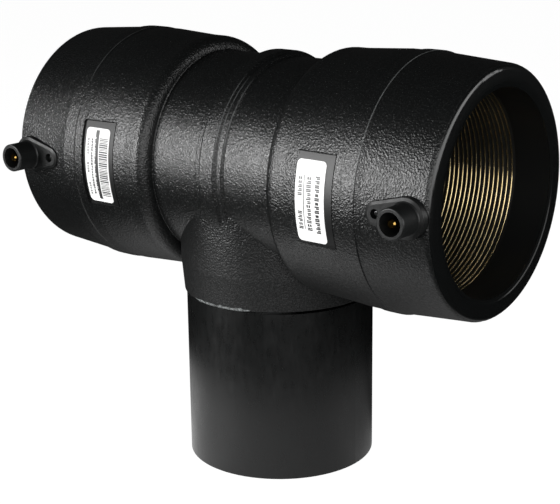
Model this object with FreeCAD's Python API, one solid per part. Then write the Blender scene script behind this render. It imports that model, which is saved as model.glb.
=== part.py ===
import FreeCAD, Part
import math
import os

# Electrofusion tee for polyethylene pipe: two heated sockets in line and a plain spigot branch.
# Origin at the centre of the spigot's end face, +Z up the branch, +X along the run.
# The electrical terminals and the labels face -Y. All sizes are in millimetres.

Vector = FreeCAD.Vector
RUN = Vector(1, 0, 0)
DEPTH = Vector(0, 1, 0)
UP = Vector(0, 0, 1)

# Pipe system
pipe_diameter = 90.0
pipe_wall = 8.2
socket_clearance = 0.5

# Run: insertion depth of each socket and the distance between the two pipe stops
socket_depth = 76.8
stop_spacing = 85.0
stop_height = 6.7
mouth_chamfer = 2.1
mouth_chamfer_depth = 0.6
mouth_lip = 0.45
mouth_lip_depth = 0.3
mouth_wall = 9.75
mouth_rounding = 3.0
taper_depth = 31.4
taper_wall = 12.0
band_inner_depth = 41.3
band_outer_depth = 34.9
band_height = 0.45
crown_wall = 12.35
crown_depth = 49.3
hip_wall = 10.95
hip_depth = 72.3
shoulder_wall = 10.85
shoulder_foot = 7.7
shoulder_rounding = 5.8
foot_fillet = 0.5

# Middle of the run, with the stepped ring over the branch
barrel_wall = 11.0
ring_height = 2.7
ring_width = 7.4
ring_slope = 1.5
ledge_height = 1.2
ledge_width = 7.4
ledge_slope = 0.9
ring_rounding = 0.35

# Branch: spigot, and the neck that grows into the run
spigot_length = 82.6
neck_height = 60.5
collar_step = 0.9
collar_groove_height = 0.9
collar_groove_depth = 0.5
neck_flare = 1.3
neck_flare_height = 15.0
neck_growth = 0.9
spigot_inner_chamfer = 1.0

# Heating winding in each socket bore
winding_start = 17.9
wire_pitch = 2.35
winding_turns = 18
winding_clearance = 0.1
wire_crest = 0.45
winding_backing = 0.55

# Wires buried in the wall: one bridge over the middle, one lead to each terminal
buried_wire_diameter = 1.8
bridge_cover = 1.6
lead_cover = 1.0
wire_overlap = 2.0

# Terminals, one per socket
terminal_depth = 9.6
terminal_pin_diameter = 4.0
terminal_pin_tip = 0.6
terminal_root_diameter = 5.0
terminal_root_depth = 8.0
shroud_bore = 9.9
shroud_wall = 1.7
shroud_height = 10.7
shroud_rounding = 0.6
shroud_floor = 1.3
shroud_foot_fillet = 0.6
pin_recess = 0.8

# Terminal housing: teardrop pad with a broad bevel, that carries the shroud and the fusion indicator
pad_height = 2.5
pad_shroud_margin = 0.75
pad_bevel = 1.2
pad_bevel_drop = 0.5
pad_tip_radius = 3.8
seat_depth = 2.0
seat_gap = 0.25
indicator_spacing = 14.5
indicator_hole = 4.2
indicator_pin_diameter = 2.6
indicator_sink = 1.2

# Label pocket in each socket, with its label
pocket_near_depth = 46.1
pocket_length = 19.6
pocket_height = 42.0
pocket_rise = 0.5
pocket_depth = 0.8
pocket_corner = 1.0
label_thickness = 0.25
label_length = 15.0
label_height = 36.0
label_corner = 2.0
label_rise = -0.4
label_shift_left = -0.3
label_shift_right = 2.1

# Sizes that follow from the ones above
pipe_radius = pipe_diameter / 2
bore_radius = pipe_radius + socket_clearance
branch_bore_radius = pipe_radius - pipe_wall
waterway_radius = bore_radius - stop_height
barrel_radius = waterway_radius + barrel_wall
run_half = stop_spacing / 2 + socket_depth
run_height = spigot_length + neck_height
run_centre = Vector(0, 0, run_height)
mouth_radius = bore_radius + mouth_wall
crown_radius = bore_radius + crown_wall
band_radius = crown_radius + band_height
winding_crest_radius = bore_radius + winding_clearance
winding_root_radius = winding_crest_radius + wire_crest
recess_radius = winding_root_radius + winding_backing
winding_length = wire_pitch * winding_turns
winding_outer_end = run_half - winding_start
winding_inner_end = winding_outer_end - winding_length
terminal_place = run_half - terminal_depth
taper_place = run_half - taper_depth
terminal_share = terminal_depth / taper_depth
terminal_surface = mouth_radius + (taper_wall - mouth_wall) * terminal_share
pad_face = terminal_surface + pad_height
seat_face = terminal_surface - seat_depth
shroud_radius = shroud_bore / 2 + shroud_wall
shroud_end = pad_face + shroud_height
shroud_seat = pad_face - shroud_floor
pin_end = shroud_end - pin_recess
pocket_near = run_half - pocket_near_depth
pocket_far = pocket_near - pocket_length
pocket_floor_radius = crown_radius - pocket_depth - label_thickness
label_radius = pocket_floor_radius + label_thickness
label_middle = (pocket_near + pocket_far) / 2


def tangent_corner(before, corner, after, radius):
    """The two tangent points of a rounded corner and the middle of its arc."""
    to_before = (before - corner).normalize()
    to_after = (after - corner).normalize()
    half_angle = to_before.getAngle(to_after) / 2
    reach = radius / math.tan(half_angle)
    inward = (to_before + to_after).normalize()
    start = corner + to_before * reach
    end = corner + to_after * reach
    middle = corner + inward * (radius / math.sin(half_angle) - radius)
    return start, middle, end


def rounded_face(corners):
    """A flat face from corners given as (point, radius); a radius of 0 leaves the corner sharp."""
    stops = []
    for index, (corner, radius) in enumerate(corners):
        before = corners[index - 1][0]
        after = corners[(index + 1) % len(corners)][0]
        if radius > 0:
            stops.append(tangent_corner(before, corner, after, radius))
        else:
            stops.append((corner, None, corner))
    edges = []
    for index, (start, middle, end) in enumerate(stops):
        if middle is not None:
            edges.append(Part.Arc(start, middle, end).toShape())
        next_start = stops[(index + 1) % len(stops)][0]
        edges.append(Part.LineSegment(end, next_start).toShape())
    return Part.Face(Part.Wire(edges))


def turned(outline, centre, axis, out, angle=360.0):
    """A solid turned about an axis, from (along, radius, corner radius) points."""
    corners = [(centre + axis * along + out * away, corner) for along, away, corner in outline]
    return rounded_face(corners).revolve(centre, axis, angle)


def run_turned(half_outline):
    """A solid turned about the run, mirrored at the middle, from its +X half outline."""
    left = [(-along, away, corner) for along, away, corner in reversed(half_outline)]
    return turned([(-half_outline[-1][0], 0, 0)] + left + half_outline
                  + [(half_outline[-1][0], 0, 0)], run_centre, RUN, UP)


def run_outer():
    """Outside of the run: stepped ring, barrel, shoulder, crown, raised band and tapered mouth."""
    foot = stop_spacing / 2 - shoulder_foot
    ring_edge = ring_width / 2
    ledge_edge = ring_edge + ledge_width / 2
    return run_turned([
        (ring_edge, barrel_radius + ring_height, ring_rounding),
        (ring_edge + ring_slope, barrel_radius + ledge_height, ring_rounding),
        (ledge_edge, barrel_radius + ledge_height, ring_rounding),
        (ledge_edge + ledge_slope, barrel_radius, ring_rounding),
        (foot, barrel_radius, foot_fillet),
        (foot, bore_radius + shoulder_wall, shoulder_rounding),
        (run_half - hip_depth, bore_radius + hip_wall, 0),
        (run_half - crown_depth, crown_radius, 0),
        (run_half - band_inner_depth - band_height, crown_radius, 0),
        (run_half - band_inner_depth, band_radius, 0),
        (run_half - band_outer_depth, band_radius, 0),
        (run_half - band_outer_depth + band_height, crown_radius, 0),
        (taper_place, bore_radius + taper_wall, 0),
        (run_half, mouth_radius, mouth_rounding),
    ])


def run_inner():
    """Hollow of the run: two socket bores with their winding recesses, and the waterway."""
    stop = stop_spacing / 2
    return run_turned([
        (stop, waterway_radius, 0),
        (stop, bore_radius, 0),
        (winding_inner_end, bore_radius, 0),
        (winding_inner_end, recess_radius, 0),
        (winding_outer_end, recess_radius, 0),
        (winding_outer_end, bore_radius, 0),
        (run_half - mouth_chamfer_depth, bore_radius, 0),
        (run_half - mouth_lip_depth, bore_radius + mouth_chamfer - mouth_lip, 0),
        (run_half, bore_radius + mouth_chamfer, 0),
    ])


def branch_outer():
    """Outside of the branch: spigot, groove and small step at the collar, and the neck up to the run."""
    groove_radius = pipe_radius - collar_groove_depth
    neck_radius = pipe_radius + collar_step
    flare_radius = neck_radius + neck_flare
    return turned([
        (0, 0, 0),
        (0, pipe_radius, 0),
        (spigot_length - collar_groove_height, pipe_radius, 0),
        (spigot_length - collar_groove_height, groove_radius, 0),
        (spigot_length, groove_radius, 0),
        (spigot_length, neck_radius, collar_step / 3),
        (spigot_length + neck_flare_height, flare_radius, 0),
        (run_height, flare_radius + neck_growth, 0),
        (run_height, 0, 0),
    ], Vector(0, 0, 0), UP, RUN)


def branch_inner():
    """Hollow of the branch, from the spigot's end up to the run's axis."""
    return turned([
        (0, 0, 0),
        (0, branch_bore_radius + spigot_inner_chamfer, 0),
        (spigot_inner_chamfer, branch_bore_radius, 0),
        (run_height, branch_bore_radius, 0),
        (run_height, 0, 0),
    ], Vector(0, 0, 0), UP, RUN)


def teardrop(place, height, growth):
    """Outline of a terminal pad: large round about the shroud, small round about the indicator."""
    side = math.copysign(1, place)
    large = shroud_radius + pad_shroud_margin + growth
    small = pad_tip_radius + growth
    tilt = math.asin((large - small) / indicator_spacing)
    across = side * math.sin(tilt)
    upward = math.cos(tilt)
    face = Vector(place, -height, run_height)
    tip = face - RUN * side * indicator_spacing
    lean = RUN * -across
    rise = UP * upward
    return Part.Wire([
        Part.Arc(face + (lean + rise) * large, face + RUN * side * large,
                 face + (lean - rise) * large).toShape(),
        Part.LineSegment(face + (lean - rise) * large, tip + (lean - rise) * small).toShape(),
        Part.Arc(tip + (lean - rise) * small, tip - RUN * side * small,
                 tip + (lean + rise) * small).toShape(),
        Part.LineSegment(tip + (lean + rise) * small, face + (lean + rise) * large).toShape(),
    ])


def seat_block(place, top, growth):
    """Teardrop block from the seat in the wall up to a height, with upright sides."""
    foot = Part.Face(teardrop(place, seat_face, pad_bevel + growth))
    return foot.extrude(-DEPTH * (top - seat_face))


def pad(place):
    """Terminal pad: teardrop block with a broad bevel about its face."""
    bevel_foot = pad_face - pad_bevel_drop
    bevel = Part.makeLoft([teardrop(place, bevel_foot, pad_bevel), teardrop(place, pad_face, 0)], True, True)
    return seat_block(place, bevel_foot, 0).fuse(bevel)


def terminal_housing(place):
    """Housing of a terminal: teardrop pad with a round shroud, moulded round pin and indicator."""
    centre = Vector(place, 0, run_height)
    shroud = turned([
        (seat_face, 0, 0),
        (seat_face, shroud_radius, 0),
        (pad_face, shroud_radius, 0),
        (pad_face, shroud_radius + shroud_foot_fillet, 0),
        (pad_face + shroud_foot_fillet, shroud_radius, 0),
        (shroud_end, shroud_radius, shroud_rounding),
        (shroud_end, 0, 0),
    ], centre, -DEPTH, RUN)
    hollow = turned([
        (shroud_seat, 0, 0),
        (shroud_seat, shroud_bore / 2, 0),
        (shroud_end, shroud_bore / 2, 0),
        (shroud_end, 0, 0),
    ], centre, -DEPTH, RUN)
    indicator_bore = Part.makeCylinder(indicator_hole / 2, pad_face - seat_face,
                                       Vector(indicator_place(place), -pad_face, run_height), DEPTH)
    housing = pad(place).fuse(shroud)
    return housing.cut([hollow, terminal_pin(place), indicator_bore]).removeSplitter()


def terminal_pin(place):
    """Contact pin with a chamfered tip and a thicker root held in the wall."""
    tip = terminal_pin_diameter / 2
    return turned([
        (shroud_seat - terminal_root_depth, 0, 0),
        (shroud_seat - terminal_root_depth, terminal_root_diameter / 2, 0),
        (shroud_seat, terminal_root_diameter / 2, 0),
        (shroud_seat, tip, 0),
        (pin_end - terminal_pin_tip, tip, 0),
        (pin_end, tip - terminal_pin_tip, 0),
        (pin_end, 0, 0),
    ], Vector(place, 0, run_height), -DEPTH, RUN)


def indicator_place(place):
    """Centre of the fusion indicator beside a terminal."""
    return place - math.copysign(indicator_spacing, place)


def indicator_pin(place):
    """Fusion indicator: a small plastic pin with a rounded end, standing in the housing's hole."""
    radius = indicator_pin_diameter / 2
    return turned([
        (seat_face, 0, 0),
        (seat_face, radius, 0),
        (pad_face - indicator_sink, radius, radius / 2),
        (pad_face - indicator_sink, 0, 0),
    ], Vector(indicator_place(place), 0, run_height), -DEPTH, RUN)


def wrapped_plate(near, far, inner, outer, height, rise, corner):
    """A rectangular plate wrapped on the front of the run, with rounded corners, raised off the middle."""
    angle = math.degrees(height / outer)
    shift = math.degrees(rise / outer)
    start = Vector(0, -1, 0)
    plate = turned([(near, inner, 0), (near, outer, 0), (far, outer, 0), (far, inner, 0)],
                   run_centre, RUN, start, angle)
    plate.rotate(run_centre, RUN, -angle / 2 - shift)
    radial = [edge for edge in plate.Edges if is_radial(edge)]
    return plate.makeFillet(corner, radial)


def is_radial(edge):
    """True for a straight edge that points at the run's axis."""
    if not isinstance(edge.Curve, Part.Line):
        return False
    first, last = edge.Vertexes[0].Point, edge.Vertexes[-1].Point
    return abs(first.x - last.x) < abs(first.y - last.y) + abs(first.z - last.z)


def label_pocket(side):
    """Shallow recess that takes a label."""
    return wrapped_plate(side * pocket_near, side * pocket_far, pocket_floor_radius,
                         band_radius + pocket_depth, pocket_height, pocket_rise, pocket_corner)


def label(side):
    """Thin label on the floor of its pocket."""
    middle = label_middle - (label_shift_right if side > 0 else label_shift_left)
    return wrapped_plate(side * (middle + label_length / 2), side * (middle - label_length / 2),
                         pocket_floor_radius, label_radius, label_height, label_rise, label_corner)


def winding(side):
    """Heating winding of one socket: close turns of wire, as one ridged sleeve."""
    outer, inner = winding_outer_end, winding_inner_end
    outline = [(side * outer, recess_radius, 0), (side * outer, winding_root_radius, 0)]
    for turn in range(winding_turns):
        edge = outer - turn * wire_pitch
        outline.append((side * (edge - wire_pitch / 2), winding_crest_radius, 0))
        outline.append((side * (edge - wire_pitch), winding_root_radius, 0))
    outline.append((side * inner, recess_radius, 0))
    return turned(outline, run_centre, RUN, UP)


def straight_wire(start, end):
    """A straight length of buried wire."""
    along = end - start
    return Part.makeCylinder(buried_wire_diameter / 2, along.Length, start, along)


def bridge_wire():
    """Wire over the middle of the run that joins the inner ends of the two windings."""
    rise = recess_radius + bridge_cover
    place = winding_inner_end + wire_overlap
    ends = [Vector(side * place, 0, run_height + rise) for side in (-1, 1)]
    legs = [straight_wire(end - UP * bridge_cover, end) for end in ends]
    legs = [leg.cut(sleeve_core()) for leg in legs]
    joints = [Part.makeSphere(buried_wire_diameter / 2, end) for end in ends]
    return straight_wire(ends[0], ends[1]).multiFuse(legs + joints).removeSplitter()


def sleeve_core():
    """Space inside the outer face of the windings."""
    return Part.makeCylinder(recess_radius, 2 * run_half, run_centre - RUN * run_half, RUN)


def lead_wire(side):
    """Wire from a terminal's root to the outer end of its winding."""
    depth = recess_radius + lead_cover + buried_wire_diameter / 2
    start = Vector(side * terminal_place, -depth, run_height)
    corner = Vector(side * (winding_outer_end - wire_overlap), -depth, run_height)
    foot = Vector(corner.x, -recess_radius + buried_wire_diameter, run_height)
    wire = straight_wire(start, corner).multiFuse(
        [straight_wire(corner, foot), Part.makeSphere(buried_wire_diameter / 2, corner)])
    wire = wire.cut(sleeve_core())
    return wire.cut(terminal_pin(side * terminal_place)).removeSplitter()


def tee_body():
    """The moulding: run and branch, with every hollow cut out of it."""
    hollows = [run_inner(), branch_inner(), bridge_wire()]
    for side in (-1, 1):
        place = side * terminal_place
        hollows += [seat_block(place, pad_face, seat_gap), terminal_pin(place), label_pocket(side),
                    lead_wire(side)]
    return run_outer().fuse(branch_outer()).cut(hollows).removeSplitter()


def save(shape, name):
    """Write one piece to its own file."""
    shape.exportStep(os.path.join("parts", name + ".step"))


os.makedirs("parts", exist_ok=True)
save(tee_body(), "tee_body")
save(bridge_wire(), "bridge_wire")
for side_name, side in (("left", -1), ("right", 1)):
    save(winding(side), "winding_" + side_name)
    save(lead_wire(side), "lead_wire_" + side_name)
    save(terminal_housing(side * terminal_place), "terminal_housing_" + side_name)
    save(terminal_pin(side * terminal_place), "terminal_pin_" + side_name)
    save(indicator_pin(side * terminal_place), "indicator_pin_" + side_name)
    save(label(side), "label_" + side_name)
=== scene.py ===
import math
import random

import bmesh
import bpy
from mathutils import Matrix, Vector


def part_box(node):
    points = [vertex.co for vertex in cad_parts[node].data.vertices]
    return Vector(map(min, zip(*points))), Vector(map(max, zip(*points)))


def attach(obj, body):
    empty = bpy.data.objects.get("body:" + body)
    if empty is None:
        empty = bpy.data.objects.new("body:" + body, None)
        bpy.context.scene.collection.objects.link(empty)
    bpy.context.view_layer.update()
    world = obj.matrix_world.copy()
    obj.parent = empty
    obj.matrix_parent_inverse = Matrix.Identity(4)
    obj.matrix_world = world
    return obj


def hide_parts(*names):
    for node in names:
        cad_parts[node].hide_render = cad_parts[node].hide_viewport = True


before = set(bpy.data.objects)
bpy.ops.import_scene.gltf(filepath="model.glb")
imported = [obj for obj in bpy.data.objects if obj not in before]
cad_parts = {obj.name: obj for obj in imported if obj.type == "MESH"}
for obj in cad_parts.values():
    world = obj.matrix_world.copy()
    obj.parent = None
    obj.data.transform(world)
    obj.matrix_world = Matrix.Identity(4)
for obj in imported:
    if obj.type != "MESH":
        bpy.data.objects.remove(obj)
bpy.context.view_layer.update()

MM = 0.001


# Tee body: one injection moulding of black polyethylene, PE100. The run and its neck come from a mould
# with spark-eroded walls, which leave a fine grain. The spigot, the bores and the label pockets are smooth.

run_height = 143.1 * MM
spigot_length = 82.6 * MM
spigot_radius = 45.0 * MM
bore_edge_radius = 49.4 * MM
bore_foot = run_height - bore_edge_radius * 0.6
shoulder_place = spigot_radius * 1.1
end_face_place = 118.4 * MM
neck_foot = spigot_length + 14 * MM
neck_top = spigot_length + 40 * MM
ring_reach = 53.5 * MM
ring_edges = (3.9 * MM, 5.1 * MM, 7.7 * MM)
ring_edge_reach = 0.14 * MM
band_edge_place = 84.4 * MM
band_edge_reach = 0.17 * MM
left_line_place = -78.1 * MM
left_line_reach = 0.2 * MM

pocket_floor = 57.2 * MM
pocket_from = 53.6 * MM
pocket_to = 73.2 * MM
pocket_half_height = 20.4 * MM
pocket_rise = 0.5 * MM
pocket_shade_reach = 0.22 * MM
pocket_shade_above = pocket_half_height + 0.25 * MM
pocket_shade_beside = 0.2 * MM
pocket_shade_overrun = 0.4 * MM

gap_height = spigot_length - 0.7 * MM
gap_reach = 0.75 * MM
gap_start = 20 * MM
gap_full = 34 * MM

grain_size = 0.8 * MM
grain_depth = 0.28 * MM
swell_size = 18 * MM
swell_depth = 0.25 * MM
wipe_size = 2.2 * MM
scuff_size = 7 * MM


def linear(hex_colour):
    """An sRGB hex value as a linear RGBA colour."""
    shares = [int(hex_colour[at:at + 2], 16) / 255 for at in (1, 3, 5)]
    return [share / 12.92 if share <= 0.04045 else ((share + 0.055) / 1.055) ** 2.4 for share in shares] + [1]


def add(tree, kind, inputs=None, **settings):
    """One node of a tree, with its settings, and its inputs as values or as the sockets that feed them."""
    node = tree.nodes.new(kind)
    for name, value in settings.items():
        setattr(node, name, value)
    for name, value in (inputs or {}).items():
        if isinstance(value, bpy.types.NodeSocket):
            tree.links.new(value, node.inputs[name])
        else:
            node.inputs[name].default_value = value
    return node


def start_material(name):
    """A new node material: its tree, its Object coordinates and the material."""
    material = bpy.data.materials.new(name)
    material.use_nodes = True
    material.node_tree.nodes.clear()
    place = add(material.node_tree, "ShaderNodeTexCoord").outputs["Object"]
    return material.node_tree, place, material


def dress(piece, material):
    """Give a piece its one material."""
    piece.data.materials.clear()
    piece.data.materials.append(material)


# Black polyethylene, moulded: waxy, so its sheen is broad. The grain breaks the light into fine sparks,
# and the smooth places show it as soft streaks.
tree, place, polyethylene = start_material("black_polyethylene_moulded")
place_x, place_y, place_z = add(tree, "ShaderNodeSeparateXYZ", {"Vector": place}).outputs
along = add(tree, "ShaderNodeMath", {0: place_x}, operation="ABSOLUTE").outputs[0]
up = add(tree, "ShaderNodeMath", {0: place_z, 1: run_height}, operation="SUBTRACT").outputs[0]
across = add(tree, "ShaderNodeCombineXYZ", {"X": place_y, "Y": up}).outputs[0]
radius = add(tree, "ShaderNodeVectorMath", {0: across}, operation="LENGTH").outputs["Value"]
front = add(tree, "ShaderNodeMath", {0: place_y, 1: -1.0}, operation="MULTIPLY").outputs[0]
turn = add(tree, "ShaderNodeMath", {0: up, 1: front}, operation="ARCTAN2").outputs[0]
arc = add(tree, "ShaderNodeMath", {0: turn, 1: radius}, operation="MULTIPLY").outputs[0]
arc = add(tree, "ShaderNodeMath", {0: arc, 1: pocket_rise}, operation="SUBTRACT").outputs[0]
arc_size = add(tree, "ShaderNodeMath", {0: arc}, operation="ABSOLUTE").outputs[0]

# Where the mould was grained: the outside of the run and neck, without the label pockets.
spigot = add(tree, "ShaderNodeMath", {0: place_z, 1: spigot_length}, operation="LESS_THAN").outputs[0]
in_bore = add(tree, "ShaderNodeMath", {0: radius, 1: bore_edge_radius}, operation="LESS_THAN").outputs[0]
above_neck = add(tree, "ShaderNodeMath", {0: place_z, 1: bore_foot}, operation="GREATER_THAN").outputs[0]
outer = add(tree, "ShaderNodeMath", {0: along, 1: shoulder_place}, operation="GREATER_THAN").outputs[0]
socket_zone = add(tree, "ShaderNodeMath", {0: above_neck, 1: outer}, operation="MAXIMUM").outputs[0]
bore = add(tree, "ShaderNodeMath", {0: in_bore, 1: socket_zone}, operation="MULTIPLY").outputs[0]
end_face = add(tree, "ShaderNodeMath", {0: along, 1: end_face_place}, operation="GREATER_THAN").outputs[0]
pocket = add(tree, "ShaderNodeMath", {0: radius, 1: pocket_floor}, operation="LESS_THAN").outputs[0]
for value, way, limit in ((along, "GREATER_THAN", pocket_from), (along, "LESS_THAN", pocket_to),
                          (arc_size, "LESS_THAN", pocket_half_height)):
    within = add(tree, "ShaderNodeMath", {0: value, 1: limit}, operation=way).outputs[0]
    pocket = add(tree, "ShaderNodeMath", {0: pocket, 1: within}, operation="MULTIPLY").outputs[0]
smooth = spigot
for zone in (bore, end_face, pocket):
    smooth = add(tree, "ShaderNodeMath", {0: smooth, 1: zone}, operation="MAXIMUM").outputs[0]
grained = add(tree, "ShaderNodeMath", {0: 1.0, 1: smooth}, operation="SUBTRACT").outputs[0]

# Spark-eroded grain: rounded pits of about half a millimetre, drawn a little coarser than life to show,
# and shallower on the neck, which leaves the mould along its walls. The wall under them swells a little.
pits = add(tree, "ShaderNodeTexNoise", {"Vector": place, "Scale": 1 / grain_size, "Detail": 1.0,
                                        "Roughness": 0.5}).outputs["Fac"]
on_run = add(tree, "ShaderNodeMapRange", {"Value": place_z, "From Min": neck_foot,
                                          "From Max": neck_top}).outputs[0]
pit_share = add(tree, "ShaderNodeMapRange", {"Value": on_run, "To Min": 0.85, "To Max": 1.0}).outputs[0]
pit_share = add(tree, "ShaderNodeMath", {0: pit_share, 1: grained}, operation="MULTIPLY").outputs[0]
pit_height = add(tree, "ShaderNodeMath", {0: pits, 1: pit_share}, operation="MULTIPLY").outputs[0]
swell = add(tree, "ShaderNodeTexNoise", {"Vector": place, "Scale": 1 / swell_size, "Detail": 2.0})
relief = add(tree, "ShaderNodeBump", {"Height": pit_height, "Distance": grain_depth, "Strength": 1.0})
relief = add(tree, "ShaderNodeBump", {"Height": swell.outputs["Fac"], "Normal": relief.outputs[0],
                                      "Distance": swell_depth, "Strength": 0.35}).outputs[0]

# Smooth places: the wipe marks of the core, long in the direction of the pull, and faint scuffs.
pull = add(tree, "ShaderNodeMapping", {"Vector": place, "Scale": (1.0, 1.0, 0.25)}).outputs[0]
wipes = add(tree, "ShaderNodeTexNoise", {"Vector": pull, "Scale": 1 / wipe_size, "Detail": 4.0})
scuffs = add(tree, "ShaderNodeTexNoise", {"Vector": place, "Scale": 1 / scuff_size, "Detail": 6.0,
                                          "Roughness": 0.7}).outputs["Fac"]
wiped = add(tree, "ShaderNodeMath", {0: wipes.outputs["Fac"], 1: scuffs}, operation="MULTIPLY").outputs[0]
smooth_rough = add(tree, "ShaderNodeMapRange", {"Value": wiped, "From Min": 0.1, "From Max": 0.45,
                                                "To Min": 0.25, "To Max": 0.35}).outputs[0]
for zone, zone_rough in ((bore, 0.5), (pocket, 0.42), (end_face, 0.2)):
    smooth_rough = add(tree, "ShaderNodeMix", {0: zone, 2: smooth_rough, 3: zone_rough},
                       data_type="FLOAT").outputs[0]
grain_rough = add(tree, "ShaderNodeMapRange", {"Value": pits, "From Min": 0.3, "From Max": 0.7,
                                               "To Min": 0.33, "To Max": 0.26}).outputs[0]
grain_rough = add(tree, "ShaderNodeMix", {0: on_run, 2: 0.5, 3: grain_rough}, data_type="FLOAT").outputs[0]
rough = add(tree, "ShaderNodeMix", {0: grained, 2: smooth_rough, 3: grain_rough},
            data_type="FLOAT").outputs[0]

# Colour and gloss: the tops between the pits are worn paler and catch more light.
colour = add(tree, "ShaderNodeMix", {0: grained, 6: linear("#0b0c0c"), 7: linear("#0d0e0e")},
             data_type="RGBA").outputs[2]
worn = add(tree, "ShaderNodeMapRange", {"Value": pits, "From Min": 0.5, "From Max": 0.75, "To Min": 0.0,
                                        "To Max": 0.35}).outputs[0]
worn = add(tree, "ShaderNodeMath", {0: worn, 1: grained}, operation="MULTIPLY").outputs[0]
colour = add(tree, "ShaderNodeMix", {0: worn, 6: colour, 7: linear("#262727")}, data_type="RGBA").outputs[2]
grain_gloss = add(tree, "ShaderNodeMapRange", {"Value": pits, "From Min": 0.35, "From Max": 0.65,
                                               "To Min": 0.4, "To Max": 0.6}).outputs[0]
neck_gloss = add(tree, "ShaderNodeMapRange", {"Value": on_run, "To Min": 0.78, "To Max": 1.0}).outputs[0]
grain_gloss = add(tree, "ShaderNodeMath", {0: grain_gloss, 1: neck_gloss}, operation="MULTIPLY").outputs[0]
smooth_gloss = 0.5
for zone, zone_gloss in ((bore, 0.2), (pocket, 0.44)):
    smooth_gloss = add(tree, "ShaderNodeMix", {0: zone, 2: smooth_gloss, 3: zone_gloss},
                       data_type="FLOAT").outputs[0]
gloss = add(tree, "ShaderNodeMix", {0: grained, 2: smooth_gloss, 3: grain_gloss},
            data_type="FLOAT").outputs[0]

# Painted shade of each label pocket: a fine dark line above it and on its right, where its wall shades the
# floor.
pocket_middle = (pocket_from + pocket_to) / 2
pocket_half_width = pocket_to - pocket_middle
painted_pocket_shade = 0.0
for value, middle, other, other_middle, other_reach in (
        (arc, pocket_shade_above, along, pocket_middle, pocket_half_width + pocket_shade_overrun),
        (place_x, pocket_shade_beside + pocket_to, arc, 0.0, pocket_half_height),
        (place_x, pocket_shade_beside - pocket_from, arc, 0.0, pocket_half_height)):
    line = add(tree, "ShaderNodeMath", {0: value, 1: middle, 2: pocket_shade_reach}, operation="COMPARE").outputs[0]
    span = add(tree, "ShaderNodeMath", {0: other, 1: other_middle, 2: other_reach},
               operation="COMPARE").outputs[0]
    line = add(tree, "ShaderNodeMath", {0: line, 1: span}, operation="MULTIPLY").outputs[0]
    painted_pocket_shade = add(tree, "ShaderNodeMath", {0: line, 1: painted_pocket_shade}, operation="MAXIMUM").outputs[0]
gloss = add(tree, "ShaderNodeMix", {0: painted_pocket_shade, 2: gloss, 3: 0.02}, data_type="FLOAT").outputs[0]
colour = add(tree, "ShaderNodeMix", {0: painted_pocket_shade, 6: colour, 7: linear("#040404")}, data_type="RGBA").outputs[2]

# Painted highlights: pale lines on the ring's edges, its ledge and the raised bands, above the run's middle.
painted_edge_highlights = 0.0
for edge_place in ring_edges:
    edge = add(tree, "ShaderNodeMath", {0: place_x, 1: edge_place, 2: ring_edge_reach},
               operation="COMPARE").outputs[0]
    painted_edge_highlights = add(tree, "ShaderNodeMath", {0: edge, 1: painted_edge_highlights}, operation="MAXIMUM").outputs[0]
on_ring = add(tree, "ShaderNodeMath", {0: radius, 1: ring_reach}, operation="LESS_THAN").outputs[0]
below_top = add(tree, "ShaderNodeMapRange", {"Value": turn, "From Min": 1.05, "From Max": 0.75}).outputs[0]
for share in (on_ring, below_top):
    painted_edge_highlights = add(tree, "ShaderNodeMath", {0: painted_edge_highlights, 1: share}, operation="MULTIPLY").outputs[0]
edge = add(tree, "ShaderNodeMath", {0: place_x, 1: band_edge_place, 2: band_edge_reach},
           operation="COMPARE").outputs[0]
painted_edge_highlights = add(tree, "ShaderNodeMath", {0: edge, 1: painted_edge_highlights}, operation="MAXIMUM").outputs[0]
upper = add(tree, "ShaderNodeMapRange", {"Value": turn, "From Min": 0.1, "From Max": 0.35}).outputs[0]
painted_edge_highlights = add(tree, "ShaderNodeMath", {0: painted_edge_highlights, 1: upper}, operation="MULTIPLY").outputs[0]
edge = add(tree, "ShaderNodeMath", {0: place_x, 1: left_line_place, 2: left_line_reach},
           operation="COMPARE").outputs[0]
on_top = add(tree, "ShaderNodeMapRange", {"Value": turn, "From Min": 0.6, "From Max": 0.8,
                                          "To Max": 0.4}).outputs[0]
edge = add(tree, "ShaderNodeMath", {0: edge, 1: on_top}, operation="MULTIPLY").outputs[0]
painted_edge_highlights = add(tree, "ShaderNodeMath", {0: edge, 1: painted_edge_highlights}, operation="MAXIMUM").outputs[0]
# The scuff noise breaks the painted highlights into patches.
highlight_breakup = add(tree, "ShaderNodeMapRange", {"Value": scuffs, "From Min": 0.35, "From Max": 0.6, "To Min": 0.35,
                                           "To Max": 1.0}).outputs[0]
painted_edge_highlights = add(tree, "ShaderNodeMath", {0: painted_edge_highlights, 1: highlight_breakup}, operation="MULTIPLY").outputs[0]
colour = add(tree, "ShaderNodeMix", {0: painted_edge_highlights, 6: colour, 7: linear("#5c5e5e")},
             data_type="RGBA").outputs[2]

# Gap under the collar: its shade is painted black on the right, where the lip is missing.
painted_collar_shade = add(tree, "ShaderNodeMath", {0: place_z, 1: gap_height, 2: gap_reach},
             operation="COMPARE").outputs[0]
on_right = add(tree, "ShaderNodeMapRange", {"Value": place_x, "From Min": gap_start,
                                            "From Max": gap_full}).outputs[0]
painted_collar_shade = add(tree, "ShaderNodeMath", {0: painted_collar_shade, 1: on_right}, operation="MULTIPLY").outputs[0]
gloss = add(tree, "ShaderNodeMix", {0: painted_collar_shade, 2: gloss, 3: 0.0}, data_type="FLOAT").outputs[0]
colour = add(tree, "ShaderNodeMix", {0: painted_collar_shade, 6: colour, 7: linear("#030303")}, data_type="RGBA").outputs[2]
surface = add(tree, "ShaderNodeBsdfPrincipled", {"Base Color": colour, "Roughness": rough, "IOR": 1.51,
                                                 "Specular IOR Level": gloss, "Normal": relief})
add(tree, "ShaderNodeOutputMaterial", {"Surface": surface.outputs[0]})
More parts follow.
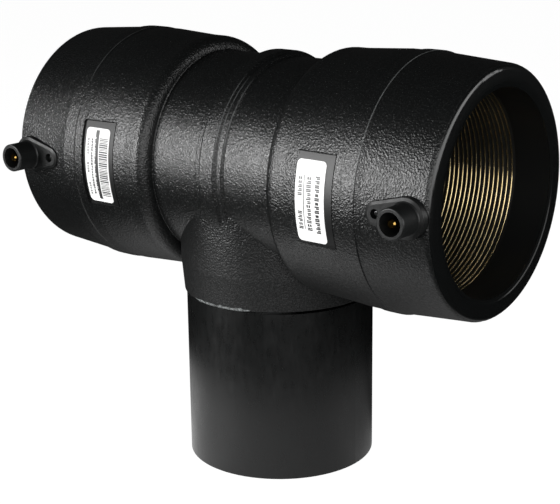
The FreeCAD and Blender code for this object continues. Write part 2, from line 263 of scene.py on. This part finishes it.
dress(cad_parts["tee_body"], polyethylene)


# Collar flash: a thin ragged lip of the same polyethylene, pressed out where the mould's halves met
# at the foot of the neck. It is torn and heavy at the front and thin elsewhere, with a highlight painted on
# it.

flash_thickness = 0.46 * MM
flash_sway = 0.5 * MM
flash_radius = spigot_radius + 0.62 * MM
flash_height = spigot_length + 0.25 * MM
flash_front = (0, -1, 0)
rag_size = 2.4 * MM
lip_highlight_size = 1.1 * MM

# Black polyethylene, torn, with a painted highlight in small pale clouds, so the lip shows pale on the black.
tree, place, torn_polyethylene = start_material("black_polyethylene_torn")
cloud = add(tree, "ShaderNodeTexNoise", {"Vector": place, "Scale": 1 / lip_highlight_size, "Detail": 4.0})
lip_highlight_share = add(tree, "ShaderNodeMapRange", {"Value": cloud.outputs["Fac"], "From Min": 0.4,
                                               "From Max": 0.65}).outputs[0]
colour = add(tree, "ShaderNodeMix", {0: lip_highlight_share, 6: linear("#343636"), 7: linear("#7a7e7e")},
             data_type="RGBA").outputs[2]
surface = add(tree, "ShaderNodeBsdfPrincipled", {"Base Color": colour, "Roughness": 0.5, "IOR": 1.51})
add(tree, "ShaderNodeOutputMaterial", {"Surface": surface.outputs[0]})


def start_group(name, labels):
    """A Geometry Nodes tree that gives a mesh and takes a number for each label, and those numbers."""
    group = bpy.data.node_groups.new(name, "GeometryNodeTree")
    group.interface.new_socket("Geometry", in_out="OUTPUT", socket_type="NodeSocketGeometry")
    for label in labels:
        group.interface.new_socket(label, in_out="INPUT", socket_type="NodeSocketFloat")
    return group, add(group, "NodeGroupInput").outputs


# A ring that sways up and down, swept with a ragged thickness: heavy at the front and a thin bead elsewhere.
flash, given = start_group("ragged_ring", ("Ring radius", "Lip thickness", "Sway"))
ring = add(flash, "GeometryNodeCurvePrimitiveCircle", {"Resolution": 420, "Radius": given["Ring radius"]})
at = add(flash, "GeometryNodeInputPosition").outputs[0]
ragged = add(flash, "ShaderNodeTexNoise", {"Vector": at, "Scale": 1 / rag_size, "Detail": 3.0}).outputs["Fac"]
uneven = add(flash, "ShaderNodeMapRange", {"Value": ragged, "From Min": 0.3, "From Max": 0.7, "To Min": -0.5,
                                           "To Max": 0.5}).outputs[0]
drop = add(flash, "ShaderNodeMath", {0: uneven, 1: given["Sway"]}, operation="MULTIPLY").outputs[0]
shift = add(flash, "ShaderNodeCombineXYZ", {"Z": drop}).outputs[0]
swayed = add(flash, "GeometryNodeSetPosition", {"Geometry": ring.outputs[0], "Offset": shift}).outputs[0]
forward = add(flash, "ShaderNodeVectorMath", {0: at, 1: flash_front},
              operation="DOT_PRODUCT").outputs["Value"]
forward = add(flash, "ShaderNodeMath", {0: forward, 1: given["Ring radius"]}, operation="DIVIDE").outputs[0]
bulk = add(flash, "ShaderNodeMapRange", {"Value": forward, "From Min": 0.915, "From Max": 0.965,
                                         "To Min": 0.06, "To Max": 1.45}).outputs[0]
bulk = add(flash, "ShaderNodeMath", {0: bulk, 1: ragged}, operation="MULTIPLY").outputs[0]
thick = add(flash, "ShaderNodeMath", {0: bulk, 1: 2.0}, operation="MULTIPLY").outputs[0]
lip = add(flash, "GeometryNodeCurvePrimitiveCircle", {"Resolution": 8, "Radius": given["Lip thickness"]})
swept = add(flash, "GeometryNodeCurveToMesh", {"Curve": swayed, "Profile Curve": lip.outputs[0],
                                               "Scale": thick}).outputs[0]
lifted = add(flash, "GeometryNodeTransform", {"Geometry": swept, "Translation": (0, 0, flash_height)})
made = add(flash, "GeometryNodeRealizeInstances", {"Geometry": lifted.outputs[0]}).outputs[0]
made = add(flash, "GeometryNodeSetMaterial", {"Geometry": made, "Material": torn_polyethylene}).outputs[0]
add(flash, "NodeGroupOutput", {"Geometry": made})


def stand(name, data):
    """A new object of the scene that holds this mesh, lamp or camera."""
    piece = bpy.data.objects.new(name, data)
    bpy.context.scene.collection.objects.link(piece)
    return piece


def grow(name, group, sizes):
    """A plain mesh object made by a Geometry Nodes tree with these sizes, at the origin."""
    seed = stand(name + "_seed", bpy.data.meshes.new(name + "_seed"))
    modifier = seed.modifiers.new("grow", "NODES")
    modifier.node_group = group
    for socket in group.interface.items_tree:
        if socket.in_out == "INPUT":
            modifier[socket.identifier] = sizes[socket.name]
    bpy.context.view_layer.update()
    evaluated = seed.evaluated_get(bpy.context.evaluated_depsgraph_get())
    mesh = bpy.data.meshes.new_from_object(evaluated)
    bpy.data.objects.remove(seed)
    mesh.name = name
    mesh.shade_smooth()
    return stand(name, mesh)


collar_flash = grow("collar_flash", flash, {"Ring radius": flash_radius, "Lip thickness": flash_thickness,
                                            "Sway": flash_sway})
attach(collar_flash, "root")


# Terminal housings: glossy black mouldings, each a teardrop pad with a round shroud, set into the wall.
# The shroud keeps fingers off the contact pin and guides the welding plug onto it.

terminal_place = 109.7 * MM
shroud_radius = 6.65 * MM
shroud_skin = 0.2 * MM
shroud_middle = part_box("terminal_housing_right")[0].y + 5.5 * MM
shroud_half_length = 4.8 * MM
sink_size = 2.5 * MM
sink_depth = 0.05 * MM

# Black polyethylene from a polished mould: it mirrors the lamps on its edges, softened by shallow sinks.
tree, place, glossy = start_material("black_polyethylene_polished")
cloud = add(tree, "ShaderNodeTexNoise", {"Vector": place, "Scale": 1 / sink_size, "Detail": 4.0,
                                         "Roughness": 0.6}).outputs["Fac"]
sink = add(tree, "ShaderNodeBump", {"Height": cloud, "Distance": sink_depth, "Strength": 0.4})
rough = add(tree, "ShaderNodeMapRange", {"Value": cloud, "From Min": 0.3, "From Max": 0.7, "To Min": 0.3,
                                         "To Max": 0.44}).outputs[0]

# The shroud's side is duller than its rim and the pad, because it is drawn along the mould's wall.
place_x, place_y, place_z = add(tree, "ShaderNodeSeparateXYZ", {"Vector": place}).outputs
aside = add(tree, "ShaderNodeMath", {0: place_x}, operation="ABSOLUTE").outputs[0]
aside = add(tree, "ShaderNodeMath", {0: aside, 1: terminal_place}, operation="SUBTRACT").outputs[0]
rise = add(tree, "ShaderNodeMath", {0: place_z, 1: run_height}, operation="SUBTRACT").outputs[0]
off_axis = add(tree, "ShaderNodeCombineXYZ", {"X": aside, "Y": rise}).outputs[0]
off_axis = add(tree, "ShaderNodeVectorMath", {0: off_axis}, operation="LENGTH").outputs["Value"]
side_skin = add(tree, "ShaderNodeMath", {0: off_axis, 1: shroud_radius, 2: shroud_skin}, operation="COMPARE")
side_span = add(tree, "ShaderNodeMath", {0: place_y, 1: shroud_middle, 2: shroud_half_length},
                operation="COMPARE")
drawn_side = add(tree, "ShaderNodeMath", {0: side_skin.outputs[0], 1: side_span.outputs[0]},
                 operation="MULTIPLY").outputs[0]
gloss = add(tree, "ShaderNodeMix", {0: drawn_side, 2: 0.35, 3: 0.1}, data_type="FLOAT").outputs[0]
rough = add(tree, "ShaderNodeMix", {0: drawn_side, 2: rough, 3: 0.5}, data_type="FLOAT").outputs[0]
colour = add(tree, "ShaderNodeMix", {0: cloud, 6: linear("#111212"), 7: linear("#1b1c1c")},
             data_type="RGBA").outputs[2]
surface = add(tree, "ShaderNodeBsdfPrincipled", {"Base Color": colour, "Roughness": rough, "IOR": 1.51,
                                                 "Specular IOR Level": gloss, "Normal": sink.outputs[0]})
add(tree, "ShaderNodeOutputMaterial", {"Surface": surface.outputs[0]})
for side in ("left", "right"):
    dress(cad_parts["terminal_housing_" + side], glossy)


# Fusion indicators: small pins of black nylon in the narrow end of each pad. Molten plastic lifts them
# when the weld is made.

nylon_cloud_size = 0.8 * MM

# Black nylon, moulded: hard and glossy, so each round end shows one bright point.
tree, place, indicator_plastic = start_material("black_nylon_indicator")
cloud = add(tree, "ShaderNodeTexNoise", {"Vector": place, "Scale": 1 / nylon_cloud_size,
                                         "Detail": 3.0}).outputs["Fac"]
rough = add(tree, "ShaderNodeMapRange", {"Value": cloud, "From Min": 0.3, "From Max": 0.7, "To Min": 0.12,
                                         "To Max": 0.22}).outputs[0]
colour = add(tree, "ShaderNodeMix", {0: cloud, 6: linear("#101111"), 7: linear("#1c1d1d")},
             data_type="RGBA").outputs[2]
surface = add(tree, "ShaderNodeBsdfPrincipled", {"Base Color": colour, "Roughness": rough, "IOR": 1.53})
add(tree, "ShaderNodeOutputMaterial", {"Surface": surface.outputs[0]})
for side in ("left", "right"):
    dress(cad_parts["indicator_pin_" + side], indicator_plastic)


# Contact pins: brass, 4 mm across, turned on a lathe. Each stands in its shroud's floor with its root
# in the wall, where the lead wire meets it.

tool_mark_size = 0.9 * MM
tool_mark_depth = 0.01 * MM
pin_stain_size = 1.5 * MM

# Turned brass: rings from the tool, drawn coarser than life to show, spread the light round the pin.
tree, place, turned_brass = start_material("turned_brass")
rings = add(tree, "ShaderNodeTexWave", {"Vector": place, "Scale": 1 / tool_mark_size, "Distortion": 0.6},
            bands_direction="Y").outputs["Fac"]
cut = add(tree, "ShaderNodeBump", {"Height": rings, "Distance": tool_mark_depth, "Strength": 0.5})
stain = add(tree, "ShaderNodeTexNoise", {"Vector": place, "Scale": 1 / pin_stain_size,
                                         "Detail": 4.0}).outputs["Fac"]
colour = add(tree, "ShaderNodeMix", {0: stain, 6: linear("#7a5a24"), 7: linear("#c2a05c")},
             data_type="RGBA").outputs[2]
rough = add(tree, "ShaderNodeMapRange", {"Value": stain, "From Min": 0.3, "From Max": 0.7, "To Min": 0.05,
                                         "To Max": 0.09}).outputs[0]
surface = add(tree, "ShaderNodeBsdfPrincipled", {"Base Color": colour, "Metallic": 1.0, "Roughness": rough,
                                                 "Normal": cut.outputs[0]})
add(tree, "ShaderNodeOutputMaterial", {"Surface": surface.outputs[0]})
for side in ("left", "right"):
    dress(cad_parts["terminal_pin_" + side], turned_brass)


# Heating windings: one layer of drawn resistance wire in each socket, wound on the mould's core and
# half sunk in the wall, with a skin of polyethylene behind it. The ends dive into the wall.

wire_pitch = 2.35 * MM
wire_radius = 0.41 * MM
winding_turns = 18
drawn_turns = winding_turns - 0.5
dive_share = 0.4965
winding_crest = 45.6 * MM
winding_back = 46.6 * MM
skin_radius = winding_crest + wire_radius * 0.85
skin_edge = 0.3 * MM
skin_steps = 192
tarnish_size = 3 * MM

# Drawn resistance wire: the die leaves it even and satin, so each turn shows one thin bright line.
tree, place, heating_wire = start_material("drawn_resistance_wire")
stain = add(tree, "ShaderNodeTexNoise", {"Vector": place, "Scale": 1 / tarnish_size, "Detail": 5.0,
                                         "Roughness": 0.6}).outputs["Fac"]
colour = add(tree, "ShaderNodeMix", {0: stain, 6: linear("#c4a467"), 7: linear("#eadcb4")},
             data_type="RGBA").outputs[2]
rough = add(tree, "ShaderNodeMapRange", {"Value": stain, "From Min": 0.3, "From Max": 0.7, "To Min": 0.14,
                                         "To Max": 0.22}).outputs[0]
surface = add(tree, "ShaderNodeBsdfPrincipled", {"Base Color": colour, "Metallic": 1.0, "Roughness": rough})
add(tree, "ShaderNodeOutputMaterial", {"Surface": surface.outputs[0]})

# A spiral along the run. Past the dive share, counted from its middle, each end leans out into the wall.
coil, given = start_group("wire_coil", ("Turns", "Coil radius", "Length", "Wire radius", "Start", "Dive"))
spiral = add(coil, "GeometryNodeCurveSpiral", {"Resolution": 120, "Rotations": given["Turns"],
                                               "Start Radius": given["Coil radius"],
                                               "End Radius": given["Coil radius"],
                                               "Height": given["Length"]}).outputs[0]
share = add(coil, "GeometryNodeSplineParameter").outputs["Factor"]
from_middle = add(coil, "ShaderNodeMath", {0: share, 1: 0.5}, operation="SUBTRACT").outputs[0]
from_middle = add(coil, "ShaderNodeMath", {0: from_middle}, operation="ABSOLUTE").outputs[0]
dive = add(coil, "ShaderNodeMapRange", {"Value": from_middle, "From Min": dive_share, "From Max": 0.5,
                                        "To Min": 0.0, "To Max": given["Dive"]}).outputs[0]
spot = add(coil, "GeometryNodeInputPosition").outputs[0]
outward = add(coil, "ShaderNodeVectorMath", {0: spot, 1: (1, 1, 0)}, operation="MULTIPLY").outputs[0]
outward = add(coil, "ShaderNodeVectorMath", {0: outward}, operation="NORMALIZE").outputs[0]
outward = add(coil, "ShaderNodeVectorMath", {0: outward, "Scale": dive}, operation="SCALE").outputs[0]
sunk = add(coil, "GeometryNodeSetPosition", {"Geometry": spiral, "Offset": outward}).outputs[0]
section = add(coil, "GeometryNodeCurvePrimitiveCircle", {"Resolution": 10, "Radius": given["Wire radius"]})
drawn = add(coil, "GeometryNodeCurveToMesh", {"Curve": sunk, "Profile Curve": section.outputs[0],
                                              "Fill Caps": True}).outputs[0]
lift = add(coil, "ShaderNodeCombineXYZ", {"Z": given["Start"]}).outputs[0]
drawn = add(coil, "GeometryNodeTransform", {"Geometry": drawn, "Translation": lift}).outputs[0]
laid = add(coil, "GeometryNodeTransform", {"Geometry": drawn, "Rotation": (0, math.pi / 2, 0)}).outputs[0]
laid = add(coil, "GeometryNodeTransform", {"Geometry": laid, "Translation": (0, 0, run_height)}).outputs[0]
made = add(coil, "GeometryNodeRealizeInstances", {"Geometry": laid}).outputs[0]
made = add(coil, "GeometryNodeSetMaterial", {"Geometry": made, "Material": heating_wire}).outputs[0]
add(coil, "NodeGroupOutput", {"Geometry": made})


def wall_skin(name, low, high):
    """A turned sleeve about the run, with a round edge at each end of its inner face."""
    corner = skin_edge * 0.3
    outline = [(low, winding_back), (low, skin_radius + skin_edge), (low + corner, skin_radius + corner),
               (low + skin_edge, skin_radius), (high - skin_edge, skin_radius),
               (high - corner, skin_radius + corner), (high, skin_radius + skin_edge), (high, winding_back)]
    mesh = bmesh.new()
    rings = []
    for step in range(skin_steps):
        angle = 2 * math.pi * step / skin_steps
        rings.append([mesh.verts.new((x, away * math.sin(angle), run_height + away * math.cos(angle)))
                      for x, away in outline])
    for step in range(skin_steps):
        here, after = rings[step], rings[(step + 1) % skin_steps]
        for index in range(len(outline)):
            following = (index + 1) % len(outline)
            mesh.faces.new((here[index], here[following], after[following], after[index]))
    bmesh.ops.recalc_face_normals(mesh, faces=mesh.faces)
    data = bpy.data.meshes.new(name)
    mesh.to_mesh(data)
    mesh.free()
    data.shade_smooth()
    return stand(name, data)


for side in ("left", "right"):
    low, high = (corner.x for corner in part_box("winding_" + side))
    wire = grow("heating_coil_" + side, coil, {
        "Turns": drawn_turns, "Coil radius": winding_crest + wire_radius, "Length": drawn_turns * wire_pitch,
        "Wire radius": wire_radius, "Start": low + wire_pitch / 2 - wire_radius * 0.5, "Dive": wire_radius})
    skin = wall_skin("coil_skin_" + side, low, high)
    dress(skin, glossy)
    for piece, slot in ((wire, "heating_wire"), (skin, "body_plastic")):
        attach(piece, "root")
        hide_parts("winding_" + side)


# Buried wires: the bridge that joins the windings over the middle of the run, and the leads to the contact
# pins. They are drawn from the same alloy and moulded into the wall, where they don't show.

for name in ("bridge_wire", "lead_wire_left", "lead_wire_right"):
    dress(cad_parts[name], heating_wire)


# Labels: white polypropylene film, cut with round corners and stuck in the smooth pockets by its own glue,
# so that it follows the socket's round wall.

film_wave_size = 6 * MM
film_wave_depth = 0.05 * MM

# White polypropylene film: satin, with a slight wave from the wall beneath it, so its white stays even.
tree, place, label_film = start_material("white_label_film")
cloud = add(tree, "ShaderNodeTexNoise", {"Vector": place, "Scale": 1 / film_wave_size,
                                         "Detail": 4.0}).outputs["Fac"]
colour = add(tree, "ShaderNodeMix", {0: cloud, 6: linear("#e6e6e5"), 7: linear("#f3f3f2")},
             data_type="RGBA").outputs[2]
rough = add(tree, "ShaderNodeMapRange", {"Value": cloud, "From Min": 0.3, "From Max": 0.7, "To Min": 0.35,
                                         "To Max": 0.5}).outputs[0]
wave = add(tree, "ShaderNodeBump", {"Height": cloud, "Distance": film_wave_depth, "Strength": 0.3})
surface = add(tree, "ShaderNodeBsdfPrincipled", {"Base Color": colour, "Roughness": rough, "IOR": 1.49,
                                                 "Normal": wave.outputs[0]})
add(tree, "ShaderNodeOutputMaterial", {"Surface": surface.outputs[0]})
for side in ("left", "right"):
    dress(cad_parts["label_" + side], label_film)


# Label print: generic marks of thermal-transfer ink, a thin film on the label. Bars and short dashes
# only, which read as nothing. Their places are in millimetres off the label's middle.

ink_film = 0.02 * MM
label_face = 57.05 * MM
ink_cloud_size = 0.7 * MM
paling_from = run_height - 2 * MM
paling_to = run_height + 12 * MM
arc_step = 1.5
bars_across = 0.6
bar_step = 0.42
bar_cuts = (0, 0, 0.3)
barcode_widths = (0.3, 0.45, 0.7)
barcode_gaps = (0.3, 0.4)

# Thermal-transfer ink: waxy and dull, dark at the label's foot and paler above, most on the right label.
tree, place, ink = start_material("thermal_transfer_ink")
cloud = add(tree, "ShaderNodeTexNoise", {"Vector": place, "Scale": 1 / ink_cloud_size,
                                         "Detail": 3.0}).outputs["Fac"]
colour = add(tree, "ShaderNodeMix", {0: cloud, 6: linear("#0e0e0e"), 7: linear("#3a3a3a")},
             data_type="RGBA").outputs[2]
place_x, place_y, place_z = add(tree, "ShaderNodeSeparateXYZ", {"Vector": place}).outputs
palest = add(tree, "ShaderNodeMapRange", {"Value": place_x, "From Max": 1 * MM, "To Min": 0.25,
                                          "To Max": 0.6}).outputs[0]
paler = add(tree, "ShaderNodeMapRange", {"Value": place_z, "From Min": paling_from, "From Max": paling_to,
                                         "To Min": 0.0, "To Max": palest}).outputs[0]
colour = add(tree, "ShaderNodeMix", {0: paler, 6: colour, 7: linear("#9a9a9a")}, data_type="RGBA").outputs[2]
surface = add(tree, "ShaderNodeBsdfPrincipled", {"Base Color": colour, "Roughness": 0.6})
add(tree, "ShaderNodeOutputMaterial", {"Surface": surface.outputs[0]})


def print_marks(name, marks, middle):
    """Ink patches wrapped on a label, each given by its ends along the run and along the arc."""
    radius = label_face + ink_film
    mesh = bmesh.new()
    for left, right, low, high in marks:
        steps = max(1, round((high - low) / arc_step))
        for step in range(steps):
            arcs = [(low + (high - low) * share / steps) * MM / label_face for share in (step, step + 1)]
            corners = [(left, arcs[0]), (right, arcs[0]), (right, arcs[1]), (left, arcs[1])]
            mesh.faces.new([mesh.verts.new((middle + x * MM, -radius * math.cos(turn),
                                            run_height + radius * math.sin(turn))) for x, turn in corners])
    data = bpy.data.meshes.new(name)
    mesh.to_mesh(data)
    mesh.free()
    piece = stand(name, data)
    dress(piece, ink)
    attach(piece, "root")


def dashes(chance, near, far, low, high, cell=1.7, weight=0.31):
    """A row of small marks in place of print: each cell holds two bars, across the row or along it."""
    marks = []
    spot = low
    while spot < high - cell * 0.6:
        if chance.random() < bars_across:
            for step in (0.0, bar_step):
                start = spot + cell * step
                from_edge = near + (far - near) * chance.choice(bar_cuts)
                marks.append((from_edge, far, start, start + cell * weight))
        else:
            thick = (far - near) * weight
            for start in (near + thick * 0.4, far - thick * 1.4):
                marks.append((start, start + thick, spot, spot + cell * 0.7))
        spot += cell
    return marks


chance = random.Random(7)
label_middle = {side: sum(corner.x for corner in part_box("label_" + side)) / 2 for side in ("left", "right")}

# Right label: a row of two short groups, a thin rule, and two full rows.
right_print = dashes(chance, -6.1, -3.9, -12.6, -4.5) + dashes(chance, -6.1, -3.9, 2.2, 11.6)
right_print += [(-3.15, -2.8, -12.4, 11.2)]
right_print += dashes(chance, -1.7, 0.8, -12.9, 11.4)
right_print += dashes(chance, 2.8, 5.1, -13.7, 11.6, 1.8, 0.36)
print_marks("label_print_right", right_print, label_middle["right"])

# Left label: a row of three short groups, a full row, a heavy bar with a ragged side, and mixed bars.
left_print = []
for low, high in ((-15, -8), (-4, 1), (5, 12.5)):
    left_print += dashes(chance, -6.4, -5.1, low, high, 1.3, 0.3)
left_print += dashes(chance, -3.9, -2.6, -14.5, 12.5, 1.3, 0.38)
left_print += [(-1.3, 0.9, 13.2, 16.6), (-1.1, 0.9, -16.8, -13.9), (-0.8, 0.9, -14.0, 13.3)]
left_print += dashes(chance, -1.5, -0.8, -13.8, 13.2, 1.1, 0.5)
spot = -15.0
while spot < 12.6:
    width = chance.choice(barcode_widths)
    left_print.append((1.4, 6.9, spot, spot + width))
    spot += width + chance.choice(barcode_gaps)
print_marks("label_print_left", left_print, label_middle["left"])


# Studio: a pale table, with a glow painted on it for the glossy faces, bright about the tee and darker in its
# painted shadow, with the room dark above. A tall soft panel at the front left draws the long streak on the
# run, and a weaker one stands at the front right. Two small cards light the left end and, through the right
# mouth, the wires.

table_radius = 150 * MM
table_edge = 30 * MM
shadow_way = (-0.26, 0.966, 0)
right_way = (0.966, -0.26, 0)
fibre_size = 25 * MM
half_floor = 6.0
white = (1, 1, 1, 1)

# White studio paper: matt. The camera sees it white. The glossy faces mirror a painted glow only about the
# tee, with the tee's shadow painted in behind it and the right side painted dimmer.
tree, place, paper = start_material("studio_paper")
fibre = add(tree, "ShaderNodeTexNoise", {"Vector": place, "Scale": 1 / fibre_size, "Detail": 3.0})
colour = add(tree, "ShaderNodeMix", {0: fibre.outputs["Fac"], 6: linear("#e4e4e4"), 7: linear("#eaeaea")},
             data_type="RGBA").outputs[2]
lit = add(tree, "ShaderNodeBsdfDiffuse", {"Color": colour}).outputs[0]
backlit = add(tree, "ShaderNodeEmission", {"Color": white, "Strength": 0.98}).outputs[0]
shadowed = add(tree, "ShaderNodeBsdfDiffuse", {"Color": (0.12, 0.12, 0.12, 1)}).outputs[0]
seen = add(tree, "ShaderNodeAddShader", {0: shadowed, 1: backlit}).outputs[0]
away = add(tree, "ShaderNodeVectorMath", {0: place}, operation="LENGTH").outputs["Value"]
painted_table_glow = add(tree, "ShaderNodeMapRange", {"Value": away, "From Min": table_radius - table_edge,
                                        "From Max": table_radius + table_edge, "To Min": 1.0, "To Max": 0.02},
           interpolation_type="SMOOTHSTEP").outputs[0]
bearing = add(tree, "ShaderNodeVectorMath", {0: place}, operation="NORMALIZE").outputs[0]
for way, low, high, least in ((shadow_way, -0.1, 0.8, 0.05), (right_way, 0.0, 1.0, 0.5)):
    share = add(tree, "ShaderNodeVectorMath", {0: bearing, 1: way}, operation="DOT_PRODUCT").outputs["Value"]
    painted_shadow_share = add(tree, "ShaderNodeMapRange", {"Value": share, "From Min": low, "From Max": high,
                                              "To Min": 1.0, "To Max": least}).outputs[0]
    painted_table_glow = add(tree, "ShaderNodeMath", {0: painted_table_glow, 1: painted_shadow_share}, operation="MULTIPLY").outputs[0]
painted_table_light = add(tree, "ShaderNodeEmission", {"Color": white, "Strength": painted_table_glow}).outputs[0]
ray = add(tree, "ShaderNodeLightPath").outputs
mixed = add(tree, "ShaderNodeMixShader", {0: ray["Is Glossy Ray"], 1: lit, 2: painted_table_light}).outputs[0]
mixed = add(tree, "ShaderNodeMixShader", {0: ray["Is Camera Ray"], 1: mixed, 2: seen}).outputs[0]
add(tree, "ShaderNodeOutputMaterial", {"Surface": mixed})

floor_mesh = bpy.data.meshes.new("studio_floor")
floor_mesh.from_pydata([(x * half_floor, y * half_floor, 0) for x, y in ((-1, -1), (1, -1), (1, 1), (-1, 1))],
                       [], [(0, 1, 2, 3)])
floor = stand("studio_floor", floor_mesh)
dress(floor, paper)

world = bpy.data.worlds.new("studio_air")
world.use_nodes = True
world.node_tree.nodes.clear()
to_camera = add(world.node_tree, "ShaderNodeLightPath").outputs["Is Camera Ray"]
air = add(world.node_tree, "ShaderNodeMix", {0: to_camera, 6: (0.015, 0.015, 0.015, 1), 7: white},
          data_type="RGBA").outputs[2]
sky = add(world.node_tree, "ShaderNodeBackground", {"Color": air, "Strength": 1.0})
add(world.node_tree, "ShaderNodeOutputWorld", {"Surface": sky.outputs[0]})
bpy.context.scene.world = world


def softbox(name, direction, distance, size, watts):
    """A rectangular lamp at a distance from the run's middle, turned to face it."""
    lamp = bpy.data.lights.new(name, "AREA")
    lamp.shape = "RECTANGLE"
    lamp.size, lamp.size_y = size
    lamp.energy = watts
    holder = stand(name, lamp)
    away = Vector(direction).normalized()
    holder.location = Vector((0, 0, run_height)) + away * distance
    holder.rotation_euler = away.to_track_quat("Z", "Y").to_euler()


softbox("key_lamp", (-0.513, -0.837, 0.191), distance=1.2, size=(0.53, 0.71), watts=15.4)
softbox("second_lamp", (0.719, -0.695, 0.156), distance=1.2, size=(1.5, 0.75), watts=10)
softbox("left_card", (-0.998, -0.035, 0.052), distance=1.2, size=(0.42, 0.2), watts=0.66)
softbox("right_card", (0.966, 0.259, 0.197), distance=0.6, size=(0.62, 0.225), watts=1.46)


# Camera: as the photograph, a little above the tee and on its right. Its place, turn and lens were solved
# from the outlines of the spigot, the mouth and the sockets.

camera_place = Vector((405.0, -510.2, 281.3)) * MM
camera_heading = 38.423
camera_tilt = -15.693
camera_roll = -0.706
lens_length = 90.25
film_width = 36.0
nearest = 0.01
farthest = 50.0

lens = bpy.data.cameras.new("photo_camera")
lens.sensor_width = film_width
lens.lens = lens_length
lens.clip_start = nearest
lens.clip_end = farthest
camera = stand("photo_camera", lens)
turned = (Matrix.Rotation(math.radians(camera_heading), 3, "Z")
          @ Matrix.Rotation(math.radians(90 + camera_tilt), 3, "X")
          @ Matrix.Rotation(math.radians(camera_roll), 3, "Z"))
camera.location = camera_place
camera.rotation_euler = turned.to_euler()
bpy.context.scene.camera = camera
bpy.context.scene.view_settings.view_transform = "Standard"
